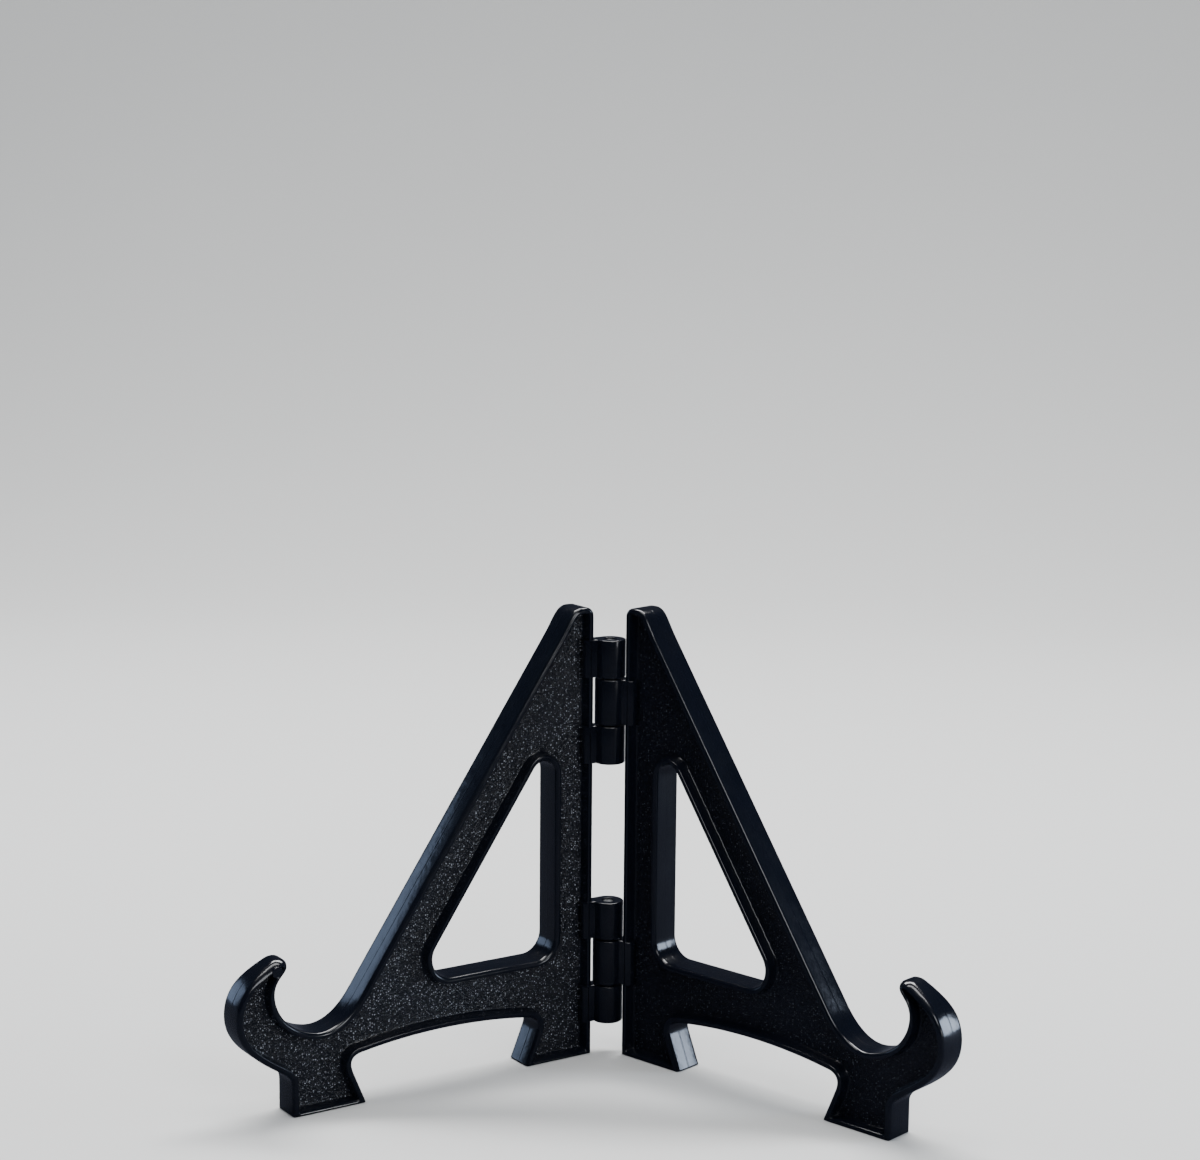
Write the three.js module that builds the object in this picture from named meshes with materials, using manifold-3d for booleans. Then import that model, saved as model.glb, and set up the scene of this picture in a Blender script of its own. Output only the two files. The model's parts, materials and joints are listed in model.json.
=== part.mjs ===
// A folding plate display stand, moulded in two side frames that swing on two steel hinge pins.
// Each side frame is an I-section moulding: a thin web inside a wide rim, with a front foot, a hook that
// holds the plate's edge, a sloped back rest, a triangular window and a rear post with hinge knuckles.
//
// Units are millimetres and +Z is up. The front of the stand, with the two hooks, faces -Y. The origin is
// on the table, under the middle of the stand's bounding box.
//
// A frame is drawn in its own plane: s runs from the hinge axis out to the hook, z runs up from the table.

import * as THREE from 'three';
import { mergeVertices } from 'three/addons/utils/BufferGeometryUtils.js';
import Module from 'manifold-3d';

// ---- Driving dimensions ----

const HEIGHT = 120;
const OPEN_ANGLE = 104; // degrees between the two side frames as the stand is used
const FOOT_FRONT = 92; // hinge axis to the front face of the front foot

const RIM_WIDTH = 8.8; // across the frame, which is the thickness of the moulding
const RIM_WALL = 1.7;
const SOLE_WALL = 1.2; // the same under each pocket, along the soles of the feet
const WEB_THICKNESS = 2.4;
const RIM_CHAMFER = 0.6;

const HOOK_REACH = 14.6; // how far the hook stands out in front of the foot
const HOOK_TIP = 40.1;
const SADDLE = 20.5; // height of the seat that the plate's edge stands on
const FOOT_NECK = 13.1; // height of the arch between the feet, at its ends
const ARCH_RISE = 2.5;
const FRONT_FOOT_LENGTH = 20.3;
const FOOT_FLARE = 3.4; // how much longer a foot is at the table than at its neck

const POST_REAR = 4.6; // hinge axis to the back of the rear post
const POST_WIDTH = 11.5;
const REST_FOOT = { s: FOOT_FRONT - 19.5, z: 28 }; // where the sloped back rest starts
const REST_TOP = { s: 14.8, z: HEIGHT - 7 };
const REST_WIDTH = 12.5;
const WINDOW_FLOOR = 28;
const WINDOW_RADIUS = { corner: 5.5, apex: 3.5 };

const PIN_RADIUS = 1.5;
const PIN_CLEARANCE = 0.1;
const KNUCKLE_RADIUS = 4;
const KNUCKLE_GAP = 0.4;
const OUTER_KNUCKLE = 10; // length of each of the left frame's two knuckles
const MIDDLE_KNUCKLE = 12; // length of the right frame's knuckle between them
const HINGE_HEIGHTS = { lower_hinge_pin: 25, upper_hinge_pin: 95 };
const BLIND_END = 2; // plastic left under the pin, so that it can't drop out
const FOLDED_GAP = 0.6; // between the frames' inner faces when the stand is folded flat

const ROUND_SEGMENTS = 28;
const CURVE_STEP = 1.6; // longest straight piece on a curve of the outline

const RIM_HALF = RIM_WIDTH / 2;
const AXIS_OFFSET = RIM_HALF + FOLDED_GAP / 2; // hinge axis to the middle plane of a frame

// ---- Solids ----

const wasm = await Module();
wasm.setup();

function solidOf(geometry) {
  geometry.deleteAttribute('normal');
  geometry.deleteAttribute('uv');
  const merged = mergeVertices(geometry, 1e-4);
  return new wasm.Manifold(new wasm.Mesh({
    numProp: 3,
    vertProperties: merged.attributes.position.array,
    triVerts: new Uint32Array(merged.index.array),
  }));
}

function geometryOf(solid) {
  const { vertProperties, triVerts } = solid.getMesh();
  return new THREE.BufferGeometry()
    .setAttribute('position', new THREE.BufferAttribute(vertProperties, 3))
    .setIndex(new THREE.BufferAttribute(triVerts, 1));
}

// A shape drawn in s and z, extruded across the frame from y = low to y = high, chamfered at both ends.
function slab(shape, low, high, chamfer = 0) {
  const geometry = new THREE.ExtrudeGeometry(shape, {
    depth: high - low - 2 * chamfer,
    bevelEnabled: chamfer > 0,
    bevelThickness: chamfer,
    bevelSize: chamfer,
    bevelOffset: -chamfer,
    bevelSegments: 1,
  });
  geometry.rotateX(Math.PI / 2);
  geometry.translate(0, high - chamfer, 0);
  return solidOf(geometry);
}

function uprightCylinder(radius, low, high) {
  const geometry = new THREE.CylinderGeometry(radius, radius, high - low, ROUND_SEGMENTS);
  geometry.rotateX(Math.PI / 2);
  geometry.translate(0, 0, (low + high) / 2);
  return solidOf(geometry);
}

function box(low, high) {
  const size = new THREE.Vector3().subVectors(high, low);
  const geometry = new THREE.BoxGeometry(size.x, size.y, size.z);
  geometry.translate(low.x + size.x / 2, low.y + size.y / 2, low.z + size.z / 2);
  return solidOf(geometry);
}

// ---- Outlines ----

// Points along a path, with every curve cut into pieces no longer than CURVE_STEP.
function sample(path) {
  const points = path.curves.flatMap((curve) => {
    const straight = curve.isLineCurve;
    const pieces = straight ? 1 : Math.max(3, Math.ceil(curve.getLength() / CURVE_STEP));
    return curve.getSpacedPoints(pieces).slice(0, -1);
  });
  return THREE.ShapeUtils.area(points) < 0 ? points.reverse() : points;
}

// The side view of a frame, anticlockwise from the front of the front foot, with its soles at z = sole.
function frameOutline(sole) {
  const path = new THREE.Path();
  const hook = (s, z) => [FOOT_FRONT + s, z]; // the hook is drawn from the face of the foot
  const curve = (...points) => path.bezierCurveTo(...points.flat());
  const neck = FOOT_NECK - 4.9;
  const slant = FOOT_FLARE / neck;
  const frontHeel = FOOT_FRONT - FRONT_FOOT_LENGTH;
  const rearToe = POST_REAR + FRONT_FOOT_LENGTH;

  path.moveTo(FOOT_FRONT, sole);
  path.lineTo(FOOT_FRONT, 8);
  // Under the hook, round its front, and over to the blunt tip.
  curve(hook(0, 9.4), hook(0.8, 10.4), hook(2, 11.2));
  curve(hook(8, 15.2), hook(HOOK_REACH, 19), hook(HOOK_REACH, 26.5));
  curve(hook(HOOK_REACH, 32.5), hook(11, 36.5), hook(4.2, HOOK_TIP));
  curve(hook(2.6, HOOK_TIP + 0.8), hook(0, HOOK_TIP + 0.4), hook(0.3, HOOK_TIP - 2));
  // Down the inside of the hook to the seat, and on to the back rest.
  curve(hook(0.7, 36), hook(4.1, 35.2), hook(4.1, 31.2));
  curve(hook(4.1, 26.2), hook(-0.4, SADDLE + 1.1), hook(-6.8, SADDLE));
  curve(hook(-12.3, SADDLE - 0.9), [REST_FOOT.s + 2.8, REST_FOOT.z - 4.2], [REST_FOOT.s, REST_FOOT.z]);
  path.lineTo(REST_TOP.s, REST_TOP.z);
  // Over the top and down the rear post.
  curve([REST_TOP.s - 2.6, HEIGHT - 3.1], [REST_TOP.s - 3.4, HEIGHT], [REST_TOP.s - 6.6, HEIGHT]);
  path.lineTo(POST_REAR + 2.5, HEIGHT);
  curve([POST_REAR + 1, HEIGHT], [POST_REAR, HEIGHT - 1], [POST_REAR, HEIGHT - 2.5]);
  path.lineTo(POST_REAR, sole);
  // The rear foot, the arch and the back of the front foot.
  path.lineTo(rearToe - slant * sole, sole);
  const rear = rearToe - FOOT_FLARE;
  const front = frontHeel + FOOT_FLARE;
  const rise = FOOT_NECK + ARCH_RISE;
  path.lineTo(rear, neck);
  curve([rear - 1.4, FOOT_NECK - 1.7], [rear, FOOT_NECK - 0.2], [rear + 2.9, FOOT_NECK]);
  curve([rear + 18, rise], [front - 18, rise], [front - 2.9, FOOT_NECK]);
  curve([front, FOOT_NECK - 0.2], [front + 1.4, FOOT_NECK - 1.7], [front, neck]);
  path.lineTo(frontHeel + slant * sole, sole);
  path.closePath();
  return sample(path);
}

// A polygon with each corner rounded to its own radius.
function roundedPolygon(corners) {
  const path = new THREE.Path();
  corners.forEach(({ at, radius }, i) => {
    const before = corners.at(i - 1).at.clone().sub(at).normalize();
    const after = corners[(i + 1) % corners.length].at.clone().sub(at).normalize();
    const half = before.angleTo(after) / 2;
    const bisector = before.clone().add(after).normalize();
    const centre = at.clone().addScaledVector(bisector, radius / Math.sin(half));
    const start = at.clone().addScaledVector(before, radius / Math.tan(half)).sub(centre);
    const end = at.clone().addScaledVector(after, radius / Math.tan(half)).sub(centre);
    path.absarc(centre.x, centre.y, radius, start.angle(), end.angle(), false);
  });
  path.closePath();
  return sample(path);
}

// The window follows the rear post, the lower bar and the back rest.
function windowOutline() {
  const rest = new THREE.Vector2(REST_TOP.s - REST_FOOT.s, REST_TOP.z - REST_FOOT.z).normalize();
  const inset = REST_WIDTH / rest.y; // the back rest's width, measured level
  const slope = rest.x / rest.y;
  const rear = POST_REAR + POST_WIDTH;
  const restAt = (z) => REST_FOOT.s - inset + slope * (z - REST_FOOT.z);
  const apex = REST_FOOT.z + (rear - REST_FOOT.s + inset) / slope;
  return roundedPolygon([
    { at: new THREE.Vector2(rear, WINDOW_FLOOR), radius: WINDOW_RADIUS.corner },
    { at: new THREE.Vector2(restAt(WINDOW_FLOOR), WINDOW_FLOOR), radius: WINDOW_RADIUS.corner },
    { at: new THREE.Vector2(rear, apex), radius: WINDOW_RADIUS.apex },
  ]);
}

function distanceToLoop(point, loop) {
  let best = Infinity;
  const edge = new THREE.Line3();
  const at = new THREE.Vector3(point.x, point.y, 0);
  const near = new THREE.Vector3();
  loop.forEach((a, i) => {
    const b = loop[(i + 1) % loop.length];
    edge.start.set(a.x, a.y, 0);
    edge.end.set(b.x, b.y, 0);
    best = Math.min(best, edge.closestPointToPoint(at, true, near).distanceTo(at));
  });
  return best;
}

// An anticlockwise loop moved to its left by distance, without the points that would cross over.
function offsetLoop(loop, distance) {
  const moved = loop.flatMap((point, i) => {
    const next = loop[(i + 1) % loop.length];
    const steps = Math.max(1, Math.round(point.distanceTo(next) / CURVE_STEP));
    const left = new THREE.Vector2(point.y - next.y, next.x - point.x).setLength(distance);
    if (distance < 0) left.setLength(-distance).negate();
    return Array.from({ length: steps }, (_, k) => point.clone().lerp(next, (k + 0.5) / steps).add(left));
  });
  const clear = Math.abs(distance) - 0.01;
  return withoutStraightPoints(moved.filter((point) => distanceToLoop(point, loop) > clear));
}

// A loop without the points that lie on the straight between their neighbours.
function withoutStraightPoints(loop) {
  return loop.filter((point, i) => {
    const back = loop.at(i - 1).clone().sub(point);
    const ahead = loop[(i + 1) % loop.length].clone().sub(point);
    return Math.abs(back.cross(ahead)) > 1e-4 * back.length() * ahead.length();
  });
}

// ---- Parts ----

// The side frame before its knuckles are added, centred on its own middle plane.
function frameBlank() {
  const outline = frameOutline(0);
  const lowered = frameOutline(SOLE_WALL - RIM_WALL); // leaves SOLE_WALL under the pockets
  const opening = windowOutline();

  const blank = new THREE.Shape(outline);
  blank.holes.push(new THREE.Path(opening));
  const pocket = new THREE.Shape(offsetLoop(lowered, RIM_WALL));
  pocket.holes.push(new THREE.Path(offsetLoop(opening, -RIM_WALL)));

  const above = RIM_HALF + 1; // each pocket's cutter runs out past the rim
  const face = WEB_THICKNESS / 2;
  return slab(blank, -RIM_HALF, RIM_HALF, RIM_CHAMFER)
    .subtract(slab(pocket, face, above))
    .subtract(slab(pocket, -above, -face));
}

// Where each frame's knuckles lie along one hinge that is centred at height z.
function knuckleSpans(side, z) {
  const inner = MIDDLE_KNUCKLE / 2;
  if (side === 'right') return [[z - inner, z + inner]];
  const near = inner + KNUCKLE_GAP;
  return [[z - near - OUTER_KNUCKLE, z - near], [z + near, z + near + OUTER_KNUCKLE]];
}

function hingeBottom(z) {
  return knuckleSpans('left', z)[0][0];
}

function hingeTop(z) {
  return knuckleSpans('left', z)[1][1];
}

// A side frame with the hinge axis on its own Z axis. Its inner face looks along +Y on the left
// frame and along -Y on the right one.
function sideFrame(side) {
  const inward = side === 'left' ? 1 : -1;
  const middle = -inward * AXIS_OFFSET;
  const faceInner = middle + inward * RIM_HALF;
  const faceOuter = -inward * KNUCKLE_RADIUS;
  let frame = frameBlank().translate(0, middle, 0);
  for (const z of Object.values(HINGE_HEIGHTS)) {
    for (const [low, high] of knuckleSpans(side, z)) {
      const arm = box(
        new THREE.Vector3(0, Math.min(faceInner, faceOuter), low),
        new THREE.Vector3(POST_REAR + RIM_WALL, Math.max(faceInner, faceOuter), high),
      );
      frame = frame.add(uprightCylinder(KNUCKLE_RADIUS, low, high)).add(arm);
    }
    const bore = uprightCylinder(PIN_RADIUS + PIN_CLEARANCE, hingeBottom(z) + BLIND_END, hingeTop(z) + 1);
    frame = frame.subtract(bore);
  }
  return geometryOf(frame);
}

// ---- Assembly ----

const plastic = new THREE.MeshStandardMaterial({ color: 0x0c0e12, roughness: 0.28, metalness: 0 });
const steel = new THREE.MeshStandardMaterial({ color: 0xb8bcc0, roughness: 0.3, metalness: 1 });

function part(name, geometry, material) {
  const mesh = new THREE.Mesh(geometry, material);
  mesh.name = name;
  return mesh;
}

const stand = new THREE.Group();
const leftSide = new THREE.Group();
const rightSide = new THREE.Group();
stand.add(leftSide, rightSide);

const swing = THREE.MathUtils.degToRad(OPEN_ANGLE / 2);
rightSide.rotation.z = swing - Math.PI / 2;
leftSide.rotation.z = -swing - Math.PI / 2;

leftSide.add(part('left_frame', sideFrame('left'), plastic));
rightSide.add(part('right_frame', sideFrame('right'), plastic));

for (const [name, z] of Object.entries(HINGE_HEIGHTS)) {
  const low = hingeBottom(z) + BLIND_END + PIN_CLEARANCE;
  const pin = uprightCylinder(PIN_RADIUS, low, hingeTop(z) - KNUCKLE_GAP);
  leftSide.add(part(name, geometryOf(pin), steel));
}

const bounds = new THREE.Box3().setFromObject(stand, true);
const centre = bounds.getCenter(new THREE.Vector3());
stand.position.set(-centre.x, -centre.y, -bounds.min.z);

export default stand;
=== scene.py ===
"""Looks for a folding plate display stand: two glossy moulded side frames on a pair of steel hinge pins.

A side frame is drawn in its own plane, in millimetres: s runs out from the hinge axis to the hook, z runs up
from the table, and n is the distance from the frame's middle plane towards the other frame.
"""
import json
import math

import bpy
import numpy as np
from mathutils import Matrix, Vector
from mathutils.geometry import delaunay_2d_cdt


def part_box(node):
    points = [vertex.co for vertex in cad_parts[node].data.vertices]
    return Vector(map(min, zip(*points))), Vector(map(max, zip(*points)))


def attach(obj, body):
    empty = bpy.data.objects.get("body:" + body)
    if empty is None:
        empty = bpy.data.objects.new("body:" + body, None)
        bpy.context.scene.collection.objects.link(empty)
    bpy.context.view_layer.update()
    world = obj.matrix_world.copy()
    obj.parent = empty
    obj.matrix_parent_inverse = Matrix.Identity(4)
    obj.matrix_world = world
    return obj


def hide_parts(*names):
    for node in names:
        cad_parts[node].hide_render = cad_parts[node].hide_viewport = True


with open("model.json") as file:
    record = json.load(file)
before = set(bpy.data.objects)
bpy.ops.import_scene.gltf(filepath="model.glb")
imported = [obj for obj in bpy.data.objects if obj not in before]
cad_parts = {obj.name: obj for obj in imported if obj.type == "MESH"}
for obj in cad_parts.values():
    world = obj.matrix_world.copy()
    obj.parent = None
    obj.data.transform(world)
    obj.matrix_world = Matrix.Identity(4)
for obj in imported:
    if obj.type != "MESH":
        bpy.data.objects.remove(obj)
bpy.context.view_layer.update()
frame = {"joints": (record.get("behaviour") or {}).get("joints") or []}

# ---- Dimensions, in millimetres ----

MM = 0.001
HEIGHT = 120
HALF_OPENING = math.radians(52)
FOOT_FRONT = 92
RIM_WIDTH = 8.8
RIM_HALF = RIM_WIDTH / 2
WEB_HALF = 1.2
AXIS_OFFSET = RIM_HALF + 0.3

HOOK_REACH = 14.6
HOOK_TIP = 40.1
SADDLE = 20.5
FOOT_NECK = 13.1
ARCH_RISE = 2.5
FRONT_FOOT_LENGTH = 20.3
FOOT_FLARE = 3.4

POST_REAR = 4.6
POST_WIDTH = 11.5
REST_FOOT = (FOOT_FRONT - 19.5, 28)
REST_TOP = (14.8, HEIGHT - 7)
REST_WIDTH = 12.5
WINDOW_FLOOR = 28
WINDOW_RADII = (5.5, 5.5, 3.5)

KNUCKLE_RADIUS = 4
KNUCKLE_GAP = 0.4
OUTER_KNUCKLE = 10
MIDDLE_KNUCKLE = 12
HINGE_HEIGHTS = {"lower_hinge_pin": 25, "upper_hinge_pin": 95}
PIN_RADIUS = 1.5
BORE_RADIUS = 1.62
BLIND_END = 2  # plastic left under each pin
KNUCKLE_ROUND = 0.35
ARM_REACH = 2.4  # how far a knuckle's arm runs into the post
PIN_ROUND = 0.35

BELOW = 6  # how far the drawn feet run on below the table
CORNER_ROUND = 0.5  # rounding of the outline's corners, seen from the side
EDGE_ROUND = 1.0  # rounding of the rim's outer edges
SOLE_ROUND = 0.2  # the same along the feet's undersides
RIM_FACE = 1.3  # from the outline to where the rim's face ends
SOLE_FACE = 0.25  # the same along the soles
TIP_ROUND = 3.2  # rounding of the rim's edges round the hook's tip
TIP_REACH = 14  # how far back from the tip it fades into EDGE_ROUND
PAD_RADIUS = 1.42  # flat left by an ejector pin near the hook's tip
PAD_PLACE = (FOOT_FRONT + 3.75, 37.7)
PAD_SUNK = 0.1
FLASH = 0.025  # height of the faint parting line round the middle of the rim
GRID = 0.25  # spacing of the distance field
POINTS_PER_MM = 2.5  # along a curve
WEB_GRAIN = 0.42  # spacing of the grain's points on the web
GRAIN_HEIGHT = 0.058
JITTER = 0.2  # of the spacing
WEB_BLEND = 0.1  # height over which the wall's foot turns into grained web
PIPS_PER_METRE = 2150
DIM_GLINT_SHARE = 0.12  # how strong the painted glints on the grain's pips are elsewhere, against full strength on the left frame's inner side, where the low lamp falls


# ---- Outlines ----

def bezier(a, b, c, d):
    a, b, c, d = (np.array(p, float) for p in (a, b, c, d))
    length = np.linalg.norm(b - a) + np.linalg.norm(c - b) + np.linalg.norm(d - c)
    count = max(4, int(POINTS_PER_MM * int(length)))
    t = np.linspace(0, 1, count + 1)[:, None]
    return (1 - t) ** 3 * a + 3 * (1 - t) ** 2 * t * b + 3 * (1 - t) * t ** 2 * c + t ** 3 * d


class Path:
    """A closed outline in the making, from straight lines and cubic curves."""

    def __init__(self, s, z):
        self.points = [np.array([[s, z]], float)]

    def line(self, s, z):
        self.points.append(np.array([[s, z]], float))

    def curve(self, b, c, d):
        self.points.append(bezier(self.points[-1][-1], b, c, d)[1:])

    def loop(self):
        return np.concatenate(self.points)


def frame_outline():
    """The side view of a frame, with its feet running on below the table, where they are cut off later."""
    def hook(s, z):
        return FOOT_FRONT + s, z

    neck = FOOT_NECK - 4.9
    heel = FOOT_FRONT - FRONT_FOOT_LENGTH
    toe = POST_REAR + FRONT_FOOT_LENGTH
    slant = FOOT_FLARE / neck
    path = Path(FOOT_FRONT, -BELOW)
    path.line(FOOT_FRONT, 8)
    path.curve(hook(0, 9.4), hook(0.8, 10.4), hook(2, 11.2))
    path.curve(hook(8, 15.2), hook(HOOK_REACH, 19), hook(HOOK_REACH, 26.5))
    path.curve(hook(HOOK_REACH, 32.5), hook(11, 36.5), hook(4.2, HOOK_TIP))
    path.curve(hook(2.6, HOOK_TIP + 0.8), hook(0, HOOK_TIP + 0.4), hook(0.3, HOOK_TIP - 2))
    path.curve(hook(0.7, 36), hook(4.1, 35.2), hook(4.1, 31.2))
    path.curve(hook(4.1, 26.2), hook(-0.4, SADDLE + 1.1), hook(-6.8, SADDLE))
    path.curve(hook(-12.3, SADDLE - 0.9), (REST_FOOT[0] + 2.8, REST_FOOT[1] - 4.2), REST_FOOT)
    path.line(*REST_TOP)
    path.curve((REST_TOP[0] - 2.6, HEIGHT - 3.1), (REST_TOP[0] - 3.4, HEIGHT), (REST_TOP[0] - 6.6, HEIGHT))
    path.line(POST_REAR + 2.5, HEIGHT)
    path.curve((POST_REAR + 1, HEIGHT), (POST_REAR, HEIGHT - 1), (POST_REAR, HEIGHT - 2.5))
    path.line(POST_REAR, -BELOW)
    path.line(toe + slant * BELOW, -BELOW)
    rear, front = toe - FOOT_FLARE, heel + FOOT_FLARE
    path.line(rear, neck)
    path.curve((rear - 1.4, FOOT_NECK - 1.7), (rear, FOOT_NECK - 0.2), (rear + 2.9, FOOT_NECK))
    rise = FOOT_NECK + ARCH_RISE
    path.curve((rear + 18, rise), (front - 18, rise), (front - 2.9, FOOT_NECK))
    path.curve((front, FOOT_NECK - 0.2), (front + 1.4, FOOT_NECK - 1.7), (front, neck))
    path.line(heel - slant * BELOW, -BELOW)
    return path.loop()


def window_outline():
    """The triangular window with its rounded corners, one side along the back rest and one along the post."""
    rest = np.array(REST_TOP, float) - np.array(REST_FOOT, float)
    rest /= np.linalg.norm(rest)
    inset = REST_WIDTH / rest[1]
    slope = rest[0] / rest[1]
    rear = POST_REAR + POST_WIDTH
    front = REST_FOOT[0] - inset + slope * (WINDOW_FLOOR - REST_FOOT[1])
    apex = REST_FOOT[1] + (rear - REST_FOOT[0] + inset) / slope
    corners = np.array([(rear, WINDOW_FLOOR), (front, WINDOW_FLOOR), (rear, apex)], float)
    points = []
    for i, (at, radius) in enumerate(zip(corners, WINDOW_RADII)):
        before = corners[i - 1] - at
        after = corners[(i + 1) % 3] - at
        before /= np.linalg.norm(before)
        after /= np.linalg.norm(after)
        half = math.acos(before @ after) / 2
        middle = (before + after) / np.linalg.norm(before + after)
        centre = at + middle * radius / math.sin(half)
        start = at + before * radius / math.tan(half) - centre
        end = at + after * radius / math.tan(half) - centre
        a = math.atan2(start[1], start[0])
        sweep = (math.atan2(end[1], end[0]) - a) % (2 * math.pi)
        t = a + np.linspace(0, sweep, 24)
        points.append(centre + radius * np.stack([np.cos(t), np.sin(t)], 1))
    return np.concatenate(points)


# ---- Distance from the outline, on a grid over the frame's plane ----

class Field:
    """How far inside the loops each point lies: positive in the plastic, negative outside it."""

    def __init__(self, loops, add=0.0):
        self.low = np.array([POST_REAR - 3.1, -BELOW - 1.1])
        high = np.array([FOOT_FRONT + HOOK_REACH + 3, HEIGHT + 3])
        size = np.ceil((high - self.low) / GRID).astype(int) + 1
        s = self.low[0] + GRID * np.arange(size[0])
        z = self.low[1] + GRID * np.arange(size[1])
        points = np.stack(np.meshgrid(s, z, indexing="ij"), -1).reshape(-1, 2)
        self.values = (self.measure(points, loops) + add).reshape(size)

    @staticmethod
    def measure(points, loops):
        a = np.concatenate(loops)
        b = np.concatenate([np.roll(loop, -1, 0) for loop in loops])
        best = np.full(len(points), 1e9)
        inside = np.zeros(len(points), bool)
        for (a0, a1), (b0, b1) in zip(a, b):
            e0, e1 = b0 - a0, b1 - a1
            p0, p1 = points[:, 0] - a0, points[:, 1] - a1
            t = np.clip((p0 * e0 + p1 * e1) / (e0 * e0 + e1 * e1 + 1e-18), 0, 1)
            best = np.minimum(best, (p0 - t * e0) ** 2 + (p1 - t * e1) ** 2)
            if e1:
                inside ^= ((p1 >= 0) != (p1 >= e1)) & (p0 < e0 * p1 / e1)
        return np.where(inside, 1, -1) * np.sqrt(best)

    def at(self, points):
        g = (points - self.low) / GRID
        i = np.clip(np.floor(g).astype(int), 0, np.array(self.values.shape) - 2)
        f = g - i
        v = self.values
        x, y = i[:, 0], i[:, 1]
        low = v[x, y] * (1 - f[:, 0]) + v[x + 1, y] * f[:, 0]
        high = v[x, y + 1] * (1 - f[:, 0]) + v[x + 1, y + 1] * f[:, 0]
        return low * (1 - f[:, 1]) + high * f[:, 1]

    def contours(self, level, floor=None):
        """Closed loops where the field equals level, or cut off at z = floor."""
        v = self.values - level
        if floor is not None:
            z = self.low[1] + GRID * np.arange(v.shape[1])
            v = np.minimum(v, z - floor)
        v[v == 0] = 1e-9
        positive = v > 0
        links = {}
        cells = positive[:-1, :-1] + 2 * positive[1:, :-1] + 4 * positive[1:, 1:] + 8 * positive[:-1, 1:]
        # The two sides of a cell that the line crosses, by which of its corners are above the level.
        sides = {1: "lb", 2: "br", 3: "lr", 4: "rt", 6: "bt", 7: "lt",
                 8: "tl", 9: "tb", 11: "tr", 12: "rl", 13: "rb", 14: "bl"}
        for i, j in np.argwhere((cells > 0) & (cells < 15)):
            c = cells[i, j]
            name = {"l": (i, j, 1), "r": (i + 1, j, 1), "b": (i, j, 0), "t": (i, j + 1, 0)}
            if c in (5, 10):
                middle = v[i:i + 2, j:j + 2].mean() > 0
                pairs = ["lt", "rb"] if (c == 5) == middle else ["lb", "rt"]
                if c == 10:
                    pairs = [p[::-1] for p in pairs]
            else:
                pairs = [sides[c]]
            for p in pairs:
                a, b = name[p[0]], name[p[1]]
                links.setdefault(a, []).append(b)
                links.setdefault(b, []).append(a)
        loops, seen = [], set()
        for start in links:
            if start in seen:
                continue
            chain, at = [], start
            while at is not None:
                seen.add(at)
                chain.append(at)
                at = next((n for n in links[at] if n not in seen), None)
            points = []
            for i, j, upright in chain:
                a = v[i, j]
                b = v[i, j + 1] if upright else v[i + 1, j]
                t = a / (a - b)
                points.append((i, j + t) if upright else (i + t, j))
            if len(points) > 8:
                loops.append(self.low + GRID * np.array(points))
        return loops


def thin(loop, turn=math.radians(9)):
    """Drops points from a loop where it runs nearly straight."""
    longest, shortest = 0.6, 0.05
    kept, turned, run = [loop[0]], 0.0, 0.0
    steps = np.roll(loop, -1, 0) - loop
    angle = np.arctan2(steps[:, 1], steps[:, 0])
    for i in range(1, len(loop)):
        run += np.linalg.norm(steps[i - 1])
        turned += (angle[i] - angle[i - 1] + math.pi) % (2 * math.pi) - math.pi
        if run > longest or abs(turned) > turn:
            if np.linalg.norm(loop[i] - kept[-1]) > shortest:
                kept.append(loop[i])
            turned, run = 0.0, 0.0
    return np.array(kept)


# ---- The rim's section: height above the middle plane, by distance in from the outline ----

ROUND_STEPS = [(1 - math.cos(a), math.sin(a)) for a in np.radians([0, 22, 40, 58, 75, 90])]
# A pocket's wall, from the rim's face to the web: (how far in, how far down).
DROP = RIM_HALF - WEB_HALF
RIM_WALL = [(0, 0), (0.11, 0.03), (0.2, 0.1), (0.28, 0.26),
            (0.36, 0.9), (0.48, DROP - 0.5), (0.62, DROP - 0.14), (0.85, DROP)]
SOLE_WALL = [(0, 0), (0.3, 0.06), (0.55, 0.2), (0.72, 0.4),
             (0.82, 0.63), (0.95, DROP - 0.4), (1.04, DROP - 0.1), (1.2, DROP)]


def round_height(depth, radius):
    """Height left by a rounded outer edge, at a depth in from the outline."""
    inside = np.clip(1 - depth / radius, 0, 1)
    return RIM_HALF - radius * (1 - np.sqrt(1 - inside ** 2))


def wall_height(depth, face, wall):
    """Height of a pocket's wall, which falls from the rim's face to the web."""
    return RIM_HALF - np.interp(depth, [face + run for run, _ in wall], [fall for _, fall in wall])


def smooth(x):
    x = np.clip(x, 0, 1)
    return x * x * (3 - 2 * x)


def section(flat, depth):
    """Height of the frame's side over each point, and how much of it is web."""
    sole = np.maximum(flat[:, 1], 0)
    tip = np.array([FOOT_FRONT + 2, HOOK_TIP])
    near_tip = 1 - smooth(np.linalg.norm(flat - tip, axis=1) / TIP_REACH)
    radius = EDGE_ROUND + near_tip * (TIP_ROUND - EDGE_ROUND)
    height = np.maximum(wall_height(depth, RIM_FACE, RIM_WALL), wall_height(sole, SOLE_FACE, SOLE_WALL))
    height = np.minimum(height, round_height(depth, radius))
    height = np.minimum(height, round_height(sole, SOLE_ROUND))
    web = smooth((WEB_HALF + WEB_BLEND - height) / WEB_BLEND) * (depth > RIM_FACE)
    return height, web


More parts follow.
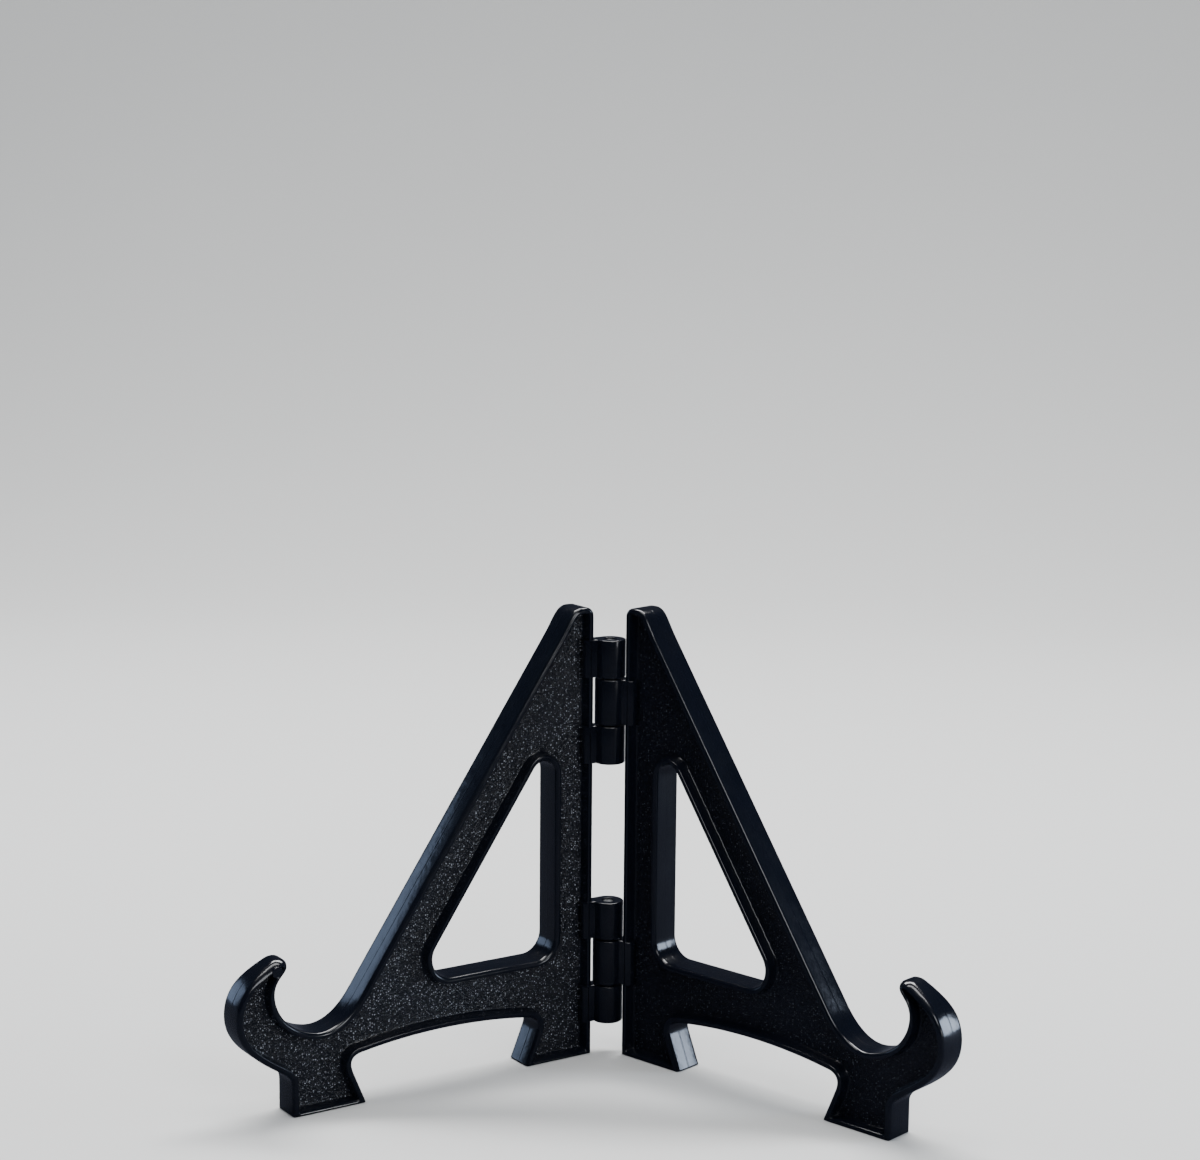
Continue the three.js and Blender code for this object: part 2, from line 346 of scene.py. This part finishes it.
def frame_sheet():
    """The frame's side as a flat triangulated sheet, with each vertex's height and how much of it is web."""
    sharp = Field([frame_outline(), window_outline()])
    field = Field([thin(c, math.radians(6)) for c in sharp.contours(CORNER_ROUND)], CORNER_ROUND)
    level_pairs = [(EDGE_ROUND * d, SOLE_ROUND * d) for d, _ in ROUND_STEPS]
    level_pairs += [(RIM_FACE + rim, SOLE_FACE + sole) for (rim, _), (sole, _) in zip(RIM_WALL, SOLE_WALL)]

    # Points along lines of equal depth, so that every bend in the section is a clean line on the mesh.
    points, depths, edges = [], [], []
    for depth, sole in level_pairs:
        for loop in field.contours(depth, sole):
            loop = thin(loop)
            if len(loop) < 6:  # a speck
                continue
            first = len(points)
            points += list(loop)
            on_sole = loop[:, 1] < sole + 1e-6
            depths += list(np.where(on_sole, field.at(loop), depth))
            edges += [(first + i, first + (i + 1) % len(loop)) for i in range(len(loop))]

    # A slightly uneven triangular lattice over the web, for its grain.
    rows = np.arange(0, HEIGHT, WEB_GRAIN * math.sqrt(3) / 2)
    columns = np.arange(POST_REAR, FOOT_FRONT + HOOK_REACH, WEB_GRAIN)
    lattice = np.array([(s + (i % 2) * WEB_GRAIN / 2, z) for i, z in enumerate(rows) for s in columns])
    rng = np.random.default_rng(11)
    lattice += rng.uniform(-JITTER, JITTER, lattice.shape) * WEB_GRAIN
    off_rim = field.at(lattice) > RIM_FACE + RIM_WALL[-1][0] + WEB_GRAIN / 2
    off_sole = lattice[:, 1] > SOLE_FACE + SOLE_WALL[-1][0] + WEB_GRAIN / 2
    lattice = lattice[off_rim & off_sole]
    points += list(lattice)
    depths += list(field.at(lattice))

    out, _, faces, sources, _, _ = delaunay_2d_cdt([Vector(p) for p in points], edges, [], 0, 1e-5)
    flat = np.array([tuple(p) for p in out])
    faces = np.array(faces)
    depth = field.at(flat)
    for i, source in enumerate(sources):
        if source:  # a point that was put in, so its depth is known exactly
            depth[i] = depths[source[0]]
    middle = flat[faces].mean(1)
    faces = faces[(field.at(middle) > 0) & (middle[:, 1] > 0)]
    height, web = section(flat, depth)
    height += web * rng.normal(0, GRAIN_HEIGHT, len(height))
    return flat, faces, height, web


# ---- Mesh helpers ----

def side_matrix(side):
    """Carries s, n and z of one side frame, in millimetres, into the shared frame, in metres."""
    out = -1 if side == "left" else 1
    along = Vector((out * math.sin(HALF_OPENING), -math.cos(HALF_OPENING), 0))
    inward = Vector((-out * math.cos(HALF_OPENING), -math.sin(HALF_OPENING), 0))
    m = Matrix.Identity(4)
    for row in range(3):
        m[row][0] = along[row] * MM
        m[row][1] = inward[row] * MM
        m[row][2] = MM if row == 2 else 0
    m[1][3] = AXIS_Y
    return m


def add_mesh(name, vertices, faces, side, material):
    """A smooth-shaded object from vertices given as s, n and z of one side frame."""
    m = side_matrix(side)
    mesh = bpy.data.meshes.new(name)
    mirrored = m.determinant() < 0
    rotated = np.array(m.to_3x3())
    world = np.asarray(vertices, float) @ rotated.T + np.array(m.translation)
    faces = [list(f)[::-1] if mirrored else list(f) for f in faces]
    mesh.from_pydata([tuple(v) for v in world], [], faces)
    mesh.validate()
    mesh.update()
    mesh.shade_smooth()
    mesh.materials.append(material)
    made = bpy.data.objects.new(name, mesh)
    bpy.context.scene.collection.objects.link(made)
    return made


def flatten_triangles(made):
    """Shades an object's flat ends, the only faces of it made of triangles, as flat."""
    for polygon in made.data.polygons:
        polygon.use_smooth = len(polygon.vertices) == 4
    return made


def build_frame(side, sheet, material):
    """One moulding: the sheet on both sides, joined by a wall with the parting line round its middle."""
    flat, faces, height, web = sheet
    count = len(flat)
    inner = np.stack([flat[:, 0], height - AXIS_OFFSET, flat[:, 1]], 1)
    outer = np.stack([flat[:, 0], -height - AXIS_OFFSET, flat[:, 1]], 1)
    # Seen with s to the right and z up, n points away, so the sheet's own order faces the outer side.
    all_faces = [f[::-1] for f in faces] + [f + count for f in faces]

    # The rim's side wall joins the two sheets round every open edge.
    directed = dict.fromkeys((f[k], f[(k + 1) % 3]) for f in faces for k in range(3))
    open_edges = [(a, b) for a, b in directed if (b, a) not in directed]
    following = dict(open_edges)
    inward = {}
    for a, b in open_edges:
        tangent = flat[following[b]] - flat[a]
        tangent /= np.linalg.norm(tangent) + 1e-12
        inward[b] = np.array([-tangent[1], tangent[0]])
    rungs = [(0.4, FLASH), (0.12, FLASH), (0.0, 0.0), (-0.12, FLASH), (-0.4, FLASH)]
    extra, index = [], {}
    for v in following:
        for k, (n, inset) in enumerate(rungs):
            p = flat[v] + inward[v] * inset
            index[(v, k)] = 2 * count + len(extra)
            extra.append((p[0], n - AXIS_OFFSET, p[1]))
    border = list(following)
    shift = FLASH * np.array([inward[v] for v in border])
    for face in (inner, outer):
        face[border, 0] += shift[:, 0]
        face[border, 2] += shift[:, 1]
    for a, b in open_edges:
        column_a = [a] + [index[(a, k)] for k in range(len(rungs))] + [a + count]
        column_b = [b] + [index[(b, k)] for k in range(len(rungs))] + [b + count]
        for k in range(len(rungs) + 1):
            all_faces.append([column_a[k], column_b[k], column_b[k + 1], column_a[k + 1]])
    vertices = np.concatenate([inner, outer, np.array(extra)])
    vertices[:, 2] = np.maximum(vertices[:, 2], 0)
    made = add_mesh(side + "_frame_moulding", vertices, all_faces, side, material)
    rim = np.zeros(len(extra))
    # Painted glints on the grain's pips: full on the left frame's inner side, where the low lamp falls, and
    # weaker elsewhere.
    inner_glint = 1 if side == "left" else DIM_GLINT_SHARE
    for name, values in (("web", (web, web, rim)), ("painted_glint", (web * inner_glint, web * DIM_GLINT_SHARE, rim))):
        attribute = made.data.attributes.new(name, "FLOAT", "POINT")
        attribute.data.foreach_set("value", np.concatenate(values).astype(np.float32))
    return made


# ---- Materials ----

def new_material(name):
    material = bpy.data.materials.new(name)
    material.use_nodes = True
    tree = material.node_tree
    return material, tree, tree.nodes["Principled BSDF"]


def node(tree, kind, **settings):
    """A new node. Each setting is an input's value, or else a property of the node."""
    made = tree.nodes.new(kind)
    for key, value in settings.items():
        if key in made.inputs:
            made.inputs[key].default_value = value
        else:
            setattr(made, key, value)
    return made


def noise(tree, scale, detail=3.0, roughness=0.55):
    coordinates = node(tree, "ShaderNodeTexCoord")
    made = node(tree, "ShaderNodeTexNoise", Scale=scale, Detail=detail, Roughness=roughness)
    tree.links.new(coordinates.outputs["Object"], made.inputs["Vector"])
    return made.outputs["Fac"]


def spread(tree, value, low, high):
    """Carries the middle of a noise's range to low and high."""
    made = node(tree, "ShaderNodeMapRange")
    made.inputs["From Min"].default_value = 0.3
    made.inputs["From Max"].default_value = 0.7
    made.inputs["To Min"].default_value = low
    made.inputs["To Max"].default_value = high
    tree.links.new(value, made.inputs["Value"])
    return made.outputs["Result"]


def mix(tree, factor, a, b):
    """From colour a to colour b. Each colour is a socket or red, green and blue."""
    made = node(tree, "ShaderNodeMix", data_type="RGBA")
    tree.links.new(factor, made.inputs["Factor"])
    for name, colour in (("A", a), ("B", b)):
        if isinstance(colour, tuple):
            made.inputs[name].default_value = (*colour, 1)
        else:
            tree.links.new(colour, made.inputs[name])
    return made.outputs["Result"]


def combine(tree, operation, a, b):
    """A calculation on socket a and b, which is a socket or a number."""
    made = node(tree, "ShaderNodeMath", operation=operation)
    tree.links.new(a, made.inputs[0])
    if isinstance(b, (int, float)):
        made.inputs[1].default_value = b
    else:
        tree.links.new(b, made.inputs[1])
    return made.outputs["Value"]


def grain_pips(tree):
    """The web's grain as ragged cells: distance from the cell's middle, and a random number for each cell."""
    coordinates = node(tree, "ShaderNodeTexCoord").outputs["Object"]
    ragged = node(tree, "ShaderNodeTexNoise", Scale=1.6 * PIPS_PER_METRE, Detail=2.0)
    tree.links.new(coordinates, ragged.inputs["Vector"])
    shift = node(tree, "ShaderNodeVectorMath", operation="MULTIPLY_ADD")
    tree.links.new(ragged.outputs["Color"], shift.inputs[0])
    shift.inputs[1].default_value = (0.9 / PIPS_PER_METRE,) * 3
    tree.links.new(coordinates, shift.inputs[2])
    cells = node(tree, "ShaderNodeTexVoronoi", Scale=PIPS_PER_METRE, Randomness=1.0)
    tree.links.new(shift.outputs["Vector"], cells.inputs["Vector"])
    random = node(tree, "ShaderNodeSeparateColor")
    tree.links.new(cells.outputs["Color"], random.inputs["Color"])
    return cells.outputs["Distance"], random.outputs["Red"]


def plastic():
    """Black polystyrene with glossy rims and a grained web. A few of the grain's pips have painted glints:
    pale crowns in the base colour that stand in for light caught by the grain.
    """
    material, tree, shader = new_material("black_gloss_plastic")
    web = node(tree, "ShaderNodeAttribute", attribute_name="web").outputs["Fac"]
    painted_glint = node(tree, "ShaderNodeAttribute", attribute_name="painted_glint").outputs["Fac"]
    distance, random = grain_pips(tree)

    crown = node(tree, "ShaderNodeMapRange", interpolation_type="SMOOTHSTEP")
    for key, value in (("From Min", 0.2), ("From Max", 0.45), ("To Min", 1), ("To Max", 0)):
        crown.inputs[key].default_value = value
    tree.links.new(distance, crown.inputs["Value"])
    # Painted glints: pale pip crowns in the base colour, standing in for light caught by the grain.
    pale = combine(tree, "MULTIPLY", combine(tree, "POWER", random, 4), crown.outputs["Result"])
    black = mix(tree, noise(tree, 90), (0.0018, 0.0027, 0.0055), (0.0034, 0.0046, 0.009))
    colour = mix(tree, combine(tree, "MULTIPLY", pale, painted_glint), black, (0.36, 0.39, 0.44))
    tree.links.new(colour, shader.inputs["Base Color"])

    rough = node(tree, "ShaderNodeMix", data_type="FLOAT")
    tree.links.new(web, rough.inputs["Factor"])
    tree.links.new(spread(tree, noise(tree, 160, 4), 0.13, 0.22), rough.inputs["A"])
    rough.inputs["B"].default_value = 0.24
    tree.links.new(rough.outputs["Result"], shader.inputs["Roughness"])
    shader.inputs["IOR"].default_value = 1.52

    ripple = node(tree, "ShaderNodeBump", Strength=0.22, Distance=0.0002)
    tree.links.new(noise(tree, 420, 2), ripple.inputs["Height"])
    grain = node(tree, "ShaderNodeBump", Distance=0.0002)
    grain.invert = True  # a pip is highest at its middle, where the distance is least
    tree.links.new(distance, grain.inputs["Height"])
    tree.links.new(combine(tree, "MULTIPLY", web, 0.8), grain.inputs["Strength"])
    tree.links.new(ripple.outputs["Normal"], grain.inputs["Normal"])
    tree.links.new(grain.outputs["Normal"], shader.inputs["Normal"])
    return material


def steel():
    material, tree, shader = new_material("drawn_steel")
    shader.inputs["Metallic"].default_value = 1
    shader.inputs["Base Color"].default_value = (0.52, 0.53, 0.54, 1)
    tree.links.new(spread(tree, noise(tree, 900, 4), 0.24, 0.4), shader.inputs["Roughness"])
    return material


def pale_floor():
    """A plain pale sweep, held back in reflections so that the black plastic still reads as black."""
    material, tree, shader = new_material("pale_floor")
    shader.inputs["Roughness"].default_value = 0.8
    seen = mix(tree, noise(tree, 4), (0.66, 0.66, 0.65), (0.68, 0.68, 0.67))
    reflected = node(tree, "ShaderNodeLightPath").outputs["Is Glossy Ray"]
    tree.links.new(mix(tree, reflected, seen, (0.022, 0.026, 0.042)), shader.inputs["Base Color"])
    return material


# ---- Hinge ----

def knuckle_outline(inset):
    """A knuckle seen from above, in s and n: a barrel round the pin, with an arm that runs into the post."""
    face = -AXIS_OFFSET + RIM_HALF - inset
    radius = KNUCKLE_RADIUS - inset
    t = np.linspace(math.asin(face / radius), 1.5 * math.pi, 44)
    barrel = radius * np.stack([np.cos(t), np.sin(t)], 1)
    return np.concatenate([barrel, [(POST_REAR + ARM_REACH, -radius), (POST_REAR + ARM_REACH, face)]])


def bore_outline(inset):
    t = np.linspace(0, 2 * math.pi, 48, endpoint=False)
    return (BORE_RADIUS + inset / 2) * np.stack([np.cos(t), np.sin(t)], 1)


def turned(profile):
    """A closed solid of revolution. The profile is (radius, height), from the axis's top to its bottom."""
    count = 64
    angles = np.linspace(0, 2 * math.pi, count, endpoint=False)
    rings = profile[1:-1]
    vertices = [(r * math.cos(a), r * math.sin(a), z) for r, z in rings for a in angles]
    top, bottom = len(vertices), len(vertices) + 1
    vertices += [(0, 0, profile[0][1]), (0, 0, profile[-1][1])]
    faces = []
    for k in range(count):
        m = (k + 1) % count
        faces.append([top, k, m])
        for i in range(len(rings) - 1):
            faces.append([i * count + m, i * count + k, (i + 1) * count + k, (i + 1) * count + m])
        last = (len(rings) - 1) * count
        faces.append([bottom, last + m, last + k])
    return vertices, faces


def add_knuckle(name, side, low, high, blind, material):
    """A knuckle with rounded edges. A blind one is closed under the pin, which stands in it."""
    bends = np.radians([0, 22.5, 45, 67.5, 90])
    rounding = [(KNUCKLE_ROUND * (1 - math.sin(a)), KNUCKLE_ROUND * (1 - math.cos(a))) for a in bends]
    bottom = [(inset, low + lift) for inset, lift in rounding]
    top = [(inset, high - lift) for inset, lift in reversed(rounding)]
    vertices, faces = [], []

    def stack(outline, rows, outward):
        """A wall through one outline at several heights; gives each row's first vertex."""
        starts = []
        for inset, z in rows:
            loop = outline(inset)
            starts.append(len(vertices))
            vertices.extend((s, n, z) for s, n in loop)
        for a, b in zip(starts, starts[1:]):
            for k in range(len(loop)):
                m = (k + 1) % len(loop)
                quad = [a + k, a + m, b + m, b + k]
                faces.append(quad if outward else quad[::-1])
        return starts

    def cap(loops, upward):
        """A flat end between the loops, each given as its outline and its first vertex."""
        flat = np.concatenate([loop for loop, _ in loops])
        ids = np.concatenate([np.arange(len(loop)) + first for loop, first in loops])
        edges, base = [], 0
        for loop, _ in loops:
            edges += [(base + k, base + (k + 1) % len(loop)) for k in range(len(loop))]
            base += len(loop)
        _, _, triangles, sources, _, _ = delaunay_2d_cdt([Vector(p) for p in flat], edges, [], 0, 1e-6)
        ids = ids[[source[0] for source in sources]]
        places = flat[[source[0] for source in sources]]
        middles = places[np.array(triangles)].mean(1)
        for triangle, inside in zip(triangles, Field.measure(middles, [loop for loop, _ in loops]) > 0):
            if inside:
                chosen = [int(ids[v]) for v in triangle]
                faces.append(chosen if upward else chosen[::-1])

    shell = stack(knuckle_outline, bottom + top, True)
    end = knuckle_outline(KNUCKLE_ROUND)
    mouth = bore_outline(KNUCKLE_ROUND)
    if blind:
        bore = stack(bore_outline, [(0, low + BLIND_END)] + top, False)
        cap([(end, shell[0])], False)
        cap([(bore_outline(0), bore[0])], True)
    else:
        bore = stack(bore_outline, bottom + top, False)
        cap([(end, shell[0]), (mouth, bore[0])], False)
    cap([(end, shell[-1]), (mouth, bore[-1])], True)
    return flatten_triangles(add_mesh(name, vertices, faces, side, material))


def ejector_flat(name, side, material):
    """The round flat of an ejector pin, with a fine raised lip, just below the frame's inner side."""
    top, depth, lip = RIM_HALF - PAD_SUNK, 2, 0.04
    profile = [(0, top - lip), (PAD_RADIUS - 0.16, top - lip), (PAD_RADIUS - 0.1, top),
               (PAD_RADIUS - lip, top), (PAD_RADIUS, top - 0.07), (PAD_RADIUS, top - depth), (0, top - depth)]
    vertices, faces = turned(profile)
    vertices = [(PAD_PLACE[0] + x, z - AXIS_OFFSET, PAD_PLACE[1] - y) for x, y, z in vertices]
    return flatten_triangles(add_mesh(name, vertices, faces, side, material))


def knuckle_spans(side, z):
    """Where one side's knuckles start and end, in a hinge with its middle at z."""
    inner = MIDDLE_KNUCKLE / 2
    if side == "right":
        return [(z - inner, z + inner)]
    near = inner + KNUCKLE_GAP
    return [(z - near - OUTER_KNUCKLE, z - near), (z + near, z + near + OUTER_KNUCKLE)]


def pin_mesh(name, material):
    """A wire pin with rounded ends, turned about the hinge axis."""
    low, high = (c.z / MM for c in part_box(name))
    bends = np.linspace(0, math.pi / 2, 6)
    end = [(PIN_RADIUS - PIN_ROUND * (1 - math.sin(a)), PIN_ROUND * (1 - math.cos(a))) for a in bends]
    profile = [(0, high)] + [(r, high - z) for r, z in end]
    profile += [(r, low + z) for r, z in reversed(end)] + [(0, low)]
    vertices, faces = turned(profile)
    return add_mesh(name + "_turned", vertices, faces, "left", material)


# ---- Build ----

AXIS_Y = frame["joints"][0]["pos_m"][1]

black = plastic()
pin_steel = steel()
sheet = frame_sheet()

for side in ("left", "right"):
    body = side + "_side"
    moulding = build_frame(side, sheet, black)
    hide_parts(side + "_frame")
    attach(moulding, body)
    for label, z in HINGE_HEIGHTS.items():
        for k, (low, high) in enumerate(knuckle_spans(side, z)):
            name = f"{side}_{label.split('_')[0]}_knuckle_{k + 1}"
            blind = side == "left" and k == 0
            knuckle = add_knuckle(name, side, low, high, blind, black)
            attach(knuckle, body)

pad = ejector_flat("left_ejector_flat", "left", black)
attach(pad, "left_side")

for label in HINGE_HEIGHTS:
    pin = pin_mesh(label, pin_steel)
    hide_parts(label)
    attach(pin, "left_side")

# ---- Studio ----

def area_light(name, place, target, width, height, power, colour=(1, 1, 1)):
    data = bpy.data.lights.new(name, "AREA")
    data.shape = "RECTANGLE"
    data.size, data.size_y = width, height
    data.energy = power
    data.color = colour
    made = bpy.data.objects.new(name, data)
    bpy.context.scene.collection.objects.link(made)
    made.location = place
    made.rotation_mode = "QUATERNION"
    made.rotation_quaternion = (Vector(target) - Vector(place)).to_track_quat("-Z", "Y")
    return made


floor_mesh = bpy.data.meshes.new("studio_floor")
FLOOR = 4.0
BACK = 0.7  # where the floor starts to sweep up
SWEEP = 1.2  # the sweep's radius
CLEARANCE = 0.0001
bends = np.linspace(0, math.pi / 2, 24)[1:]
profile = [(-FLOOR, 0), (BACK, 0)]
profile += [(BACK + SWEEP * math.sin(a), SWEEP - SWEEP * math.cos(a)) for a in bends]
profile.append((BACK + SWEEP, FLOOR))
corners = [(x, y, z - CLEARANCE) for y, z in profile for x in (-FLOOR, FLOOR)]
strips = [(2 * i, 2 * i + 1, 2 * i + 3, 2 * i + 2) for i in range(len(profile) - 1)]
floor_mesh.from_pydata(corners, [], strips)
floor_mesh.shade_smooth()
floor = bpy.data.objects.new("studio_floor", floor_mesh)
bpy.context.scene.collection.objects.link(floor)
floor_mesh.materials.append(pale_floor())

lights = [
    area_light("left_window", (-0.72, 0.3, 0.17), (-0.06, 0, 0.03), 0.22, 0.3, 0.48, (0.52, 0.68, 1.0)),
    area_light("right_window", (0.76, 0.12, 0.17), (0.06, 0, 0.03), 0.18, 0.3, 2.2, (0.68, 0.8, 1.0)),
    area_light("low_lamp", (0.8, -0.5, 0.2), (-0.05, -0.02, 0.03), 0.14, 0.14, 1.2, (0.92, 0.95, 1.0)),
    area_light("front_window", (0.45, -0.9, 0.75), (0, 0, 0.04), 0.45, 0.45, 4, (0.93, 0.96, 1.0)),
    area_light("top_strip", (-0.02, 0.4, 0.95), (0, 0, 0.02), 1.0, 0.22, 17),
    area_light("sweep_light", (0, -0.2, 1.7), (0, 2, 0.7), 1.4, 0.5, 24),
]

world = bpy.data.worlds.new("studio")
bpy.context.scene.world = world
world.use_nodes = True
tree = world.node_tree
path = node(tree, "ShaderNodeLightPath")
soft = tree.nodes["Background"]
soft.inputs["Color"].default_value = (0.86, 0.9, 0.95, 1)
level = node(tree, "ShaderNodeMapRange")
level.inputs["To Min"].default_value = 0.5
level.inputs["To Max"].default_value = 0.018
tree.links.new(path.outputs["Is Glossy Ray"], level.inputs["Value"])
tree.links.new(level.outputs["Result"], soft.inputs["Strength"])

# ---- Camera ----

CAMERA_PLACE = Vector((0.0463, AXIS_Y - 0.611, 0.2221))
CAMERA_PITCH = math.radians(8.85)
CAMERA_YAW = math.radians(4.6)
CAMERA_ROLL = math.radians(0.49)
CAMERA_LENS = 72

camera_data = bpy.data.cameras.new("camera")
camera_data.lens = CAMERA_LENS
camera_data.sensor_width = 36
camera_data.clip_start, camera_data.clip_end = 0.01, 50
camera = bpy.data.objects.new("camera", camera_data)
bpy.context.scene.collection.objects.link(camera)
turn = (Matrix.Rotation(CAMERA_YAW, 4, "Z") @ Matrix.Rotation(math.pi / 2 - CAMERA_PITCH, 4, "X")
        @ Matrix.Rotation(CAMERA_ROLL, 4, "Z"))
camera.matrix_world = Matrix.Translation(CAMERA_PLACE) @ turn
bpy.context.scene.camera = camera
